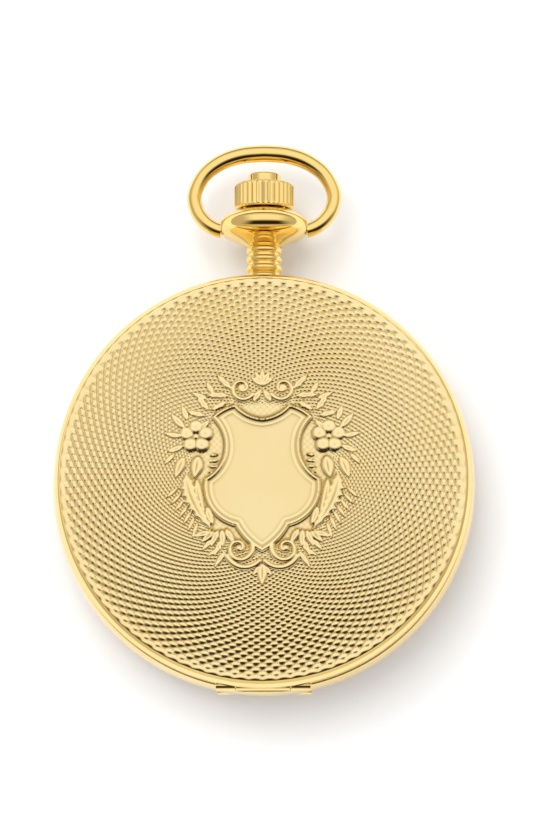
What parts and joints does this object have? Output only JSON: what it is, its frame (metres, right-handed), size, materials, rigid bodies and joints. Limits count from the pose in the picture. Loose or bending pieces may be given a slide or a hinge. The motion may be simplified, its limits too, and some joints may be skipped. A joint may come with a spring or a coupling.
{
  "type": "pocket watch",
  "caption": "Round double-cover hunter pocket watch with ringed pendant, fluted winding crown, release button, swinging bow and a lever movement inside.",
  "frame": {"origin": "on the case axis, at the flat middle of the back cover, which is what it lies on", "axes": "+Z out through the front cover, +Y towards the pendant at 12 o'clock, +X towards 3 o'clock"},
  "size_m": [0.048, 0.0636, 0.014],
  "materials": {
    "gold_polished": "polished gold",
    "gold_engraved": "engine-turned and engraved gold",
    "gold_movement": "gilt, brushed wheels",
    "bridge_plating": "striped nickel plating",
    "steel_polished": "polished hard steel",
    "steel_blued": "heat-blued steel",
    "ruby": "polished synthetic ruby",
    "crystal": "clear mineral glass",
    "dial_enamel": "fired white enamel with printed numerals"
  },
  "bodies": {
    "case": {"case_band": "gold_polished", "pendant": "gold_polished", "front_hinge_pin": "gold_polished", "back_hinge_pin": "gold_polished", "front_bezel": "gold_polished", "crystal": "crystal", "cuvette_ring": "gold_polished", "cuvette_glass": "crystal", "lift_spring": "steel_polished", "case_screws": "steel_blued", "main_plate": "gold_movement", "barrel_bridge": "bridge_plating", "train_bridge": "bridge_plating", "balance_cock": "bridge_plating", "pallet_bridge": "bridge_plating", "bridge_screws": "steel_blued", "jewels": "ruby", "crown_wheel_screw": "steel_blued", "click_screw": "steel_blued", "click_spring": "steel_polished", "dial": "dial_enamel"},
    "front_cover": {"front_cover": "gold_engraved"},
    "back_cover": {"back_cover": "gold_engraved"},
    "bow": {"bow": "gold_polished"},
    "winding": {"winding_pinion": "steel_polished"},
    "crown_and_stem": {"crown": "gold_polished", "winding_stem": "steel_polished"},
    "button": {"release_button": "gold_polished"},
    "catch": {"release_catch": "steel_polished"},
    "clutch": {"sliding_pinion": "steel_polished"},
    "setting_lever": {"setting_lever": "steel_polished"},
    "yoke": {"yoke": "steel_polished"},
    "crown_wheel": {"crown_wheel": "steel_polished"},
    "ratchet": {"ratchet_wheel": "steel_polished", "ratchet_screw": "steel_blued", "barrel_arbor": "steel_polished"},
    "click": {"click": "steel_polished"},
    "barrel": {"barrel_drum": "gold_movement", "barrel_lid": "gold_movement", "mainspring": "steel_polished"},
    "centre": {"centre_wheel": "gold_movement", "cannon_pinion": "steel_polished", "minute_hand": "steel_blued"},
    "third": {"third_wheel": "gold_movement"},
    "fourth": {"fourth_wheel": "gold_movement", "seconds_hand": "steel_blued"},
    "escape": {"escape_wheel": "steel_polished"},
    "minute_work": {"minute_wheel": "gold_movement"},
    "hour": {"hour_wheel": "gold_movement", "hour_hand": "steel_blued"},
    "idler": {"idler_wheel": "steel_polished"},
    "setting": {"setting_wheel": "steel_polished"},
    "pallet": {"pallet_fork": "steel_polished", "pallet_stones": "ruby"},
    "balance": {"balance_wheel": "gold_movement", "balance_staff": "steel_polished", "hairspring": "steel_blued"},
    "regulator": {"regulator": "steel_polished"}
  },
  "joints": [
    {"name": "front_cover_open", "type": "hinge", "parent": "case", "child": "front_cover", "pos_m": [0, -0.023, 0.00942], "axis": [1, 0, 0], "range_deg": [0, 95]},
    {"name": "back_cover_open", "type": "hinge", "parent": "case", "child": "back_cover", "pos_m": [0, -0.023, 0.00378], "axis": [-1, 0, 0], "range_deg": [0, 95]},
    {"name": "bow_swing", "type": "hinge", "parent": "case", "child": "bow", "pos_m": [0, 0.0296, 0.0066], "axis": [1, 0, 0], "range_deg": [-110, 110]},
    {"name": "crown_turn", "type": "hinge", "parent": "case", "child": "winding", "pos_m": [0, 0, 0.0066], "axis": [0, 1, 0], "continuous": true},
    {"name": "crown_pull", "type": "slide", "parent": "winding", "child": "crown_and_stem", "axis": [0, 1, 0], "range_m": [0, 0.0007]},
    {"name": "button_press", "type": "slide", "parent": "crown_and_stem", "child": "button", "axis": [0, -1, 0], "range_m": [0, 0.0007], "stiffness_N_per_m": 600, "springref_m": -0.0005},
    {"name": "catch_slide", "type": "slide", "parent": "case", "child": "catch", "axis": [0, -1, 0], "range_m": [0, 0.00055]},
    {"name": "clutch_slide", "type": "slide", "parent": "winding", "child": "clutch", "axis": [0, -1, 0], "range_m": [0, 0.0007]},
    {"name": "setting_lever_turn", "type": "hinge", "parent": "case", "child": "setting_lever", "pos_m": [0.0039, 0.0166, 0.0076], "axis": [0, 0, -1], "range_deg": [0, 12]},
    {"name": "yoke_turn", "type": "hinge", "parent": "case", "child": "yoke", "pos_m": [-0.0039, 0.0096, 0.0076], "axis": [0, 0, -1], "range_deg": [0, 12]},
    {"name": "crown_wheel_turn", "type": "hinge", "parent": "case", "child": "crown_wheel", "pos_m": [0, 0.01201, 0.0035], "axis": [0, 0, 1], "continuous": true},
    {"name": "ratchet_turn", "type": "hinge", "parent": "case", "child": "ratchet", "pos_m": [-0.00745, 0.00484, 0.0035], "axis": [0, 0, 1], "continuous": true},
    {"name": "click_lift", "type": "hinge", "parent": "case", "child": "click", "pos_m": [-0.01162, 0.01207, 0.0035], "axis": [0, 0, 1], "range_deg": [0, 12]},
    {"name": "train_run", "type": "hinge", "parent": "case", "child": "centre", "pos_m": [0, 0, 0.005], "axis": [0, 0, -1], "continuous": true},
    {"name": "barrel_turn", "type": "hinge", "parent": "case", "child": "barrel", "pos_m": [-0.00745, 0.00484, 0.006], "axis": [0, 0, -1], "continuous": true},
    {"name": "third_turn", "type": "hinge", "parent": "case", "child": "third", "pos_m": [0.00338, -0.00478, 0.006], "axis": [0, 0, -1], "continuous": true},
    {"name": "fourth_turn", "type": "hinge", "parent": "case", "child": "fourth", "pos_m": [0, -0.0086, 0.006], "axis": [0, 0, -1], "continuous": true},
    {"name": "escape_turn", "type": "hinge", "parent": "case", "child": "escape", "pos_m": [0.00446, -0.0098, 0.006], "axis": [0, 0, -1], "continuous": true},
    {"name": "minute_work_turn", "type": "hinge", "parent": "case", "child": "minute_work", "pos_m": [0.001, 0.00283, 0.0075], "axis": [0, 0, -1], "continuous": true},
    {"name": "hour_turn", "type": "hinge", "parent": "case", "child": "hour", "pos_m": [0, 0, 0.008], "axis": [0, 0, -1], "continuous": true},
    {"name": "idler_turn", "type": "hinge", "parent": "case", "child": "idler", "pos_m": [0.0009, 0.00658, 0.0075], "axis": [0, 0, -1], "continuous": true},
    {"name": "setting_turn", "type": "hinge", "parent": "case", "child": "setting", "pos_m": [0, 0.00983, 0.0075], "axis": [0, 0, -1], "continuous": true},
    {"name": "fork_swing", "type": "hinge", "parent": "case", "child": "pallet", "pos_m": [0.00694, -0.00786, 0.006], "axis": [0, 0, 1], "range_deg": [-6, 6]},
    {"name": "balance_swing", "type": "hinge", "parent": "case", "child": "balance", "pos_m": [0.01065, -0.00497, 0.005], "axis": [0, 0, 1], "range_deg": [-270, 270], "stiffness_Nm_per_rad": 0.000002},
    {"name": "regulator_shift", "type": "hinge", "parent": "case", "child": "regulator", "pos_m": [0.01065, -0.00497, 0.003], "axis": [0, 0, 1], "range_deg": [-15, 15]}
  ],
  "couplings": [
    {"joint": "catch_slide", "follows": "button_press", "ratio": 0.785},
    {"joint": "clutch_slide", "follows": "crown_pull", "ratio": 1},
    {"joint": "setting_lever_turn", "follows": "crown_pull", "rad_per_m": 256.41},
    {"joint": "yoke_turn", "follows": "crown_pull", "rad_per_m": 256.41},
    {"joint": "crown_wheel_turn", "follows": "crown_turn", "ratio": 0.5},
    {"joint": "ratchet_turn", "follows": "crown_turn", "ratio": -0.28333},
    {"joint": "barrel_turn", "follows": "train_run", "ratio": -0.14286},
    {"joint": "third_turn", "follows": "train_run", "ratio": -8},
    {"joint": "fourth_turn", "follows": "train_run", "ratio": 60},
    {"joint": "escape_turn", "follows": "train_run", "ratio": -600},
    {"joint": "minute_work_turn", "follows": "train_run", "ratio": -0.33333},
    {"joint": "hour_turn", "follows": "train_run", "ratio": 0.083333},
    {"joint": "idler_turn", "follows": "train_run", "ratio": 0.5},
    {"joint": "setting_turn", "follows": "train_run", "ratio": -0.4}
  ]
}
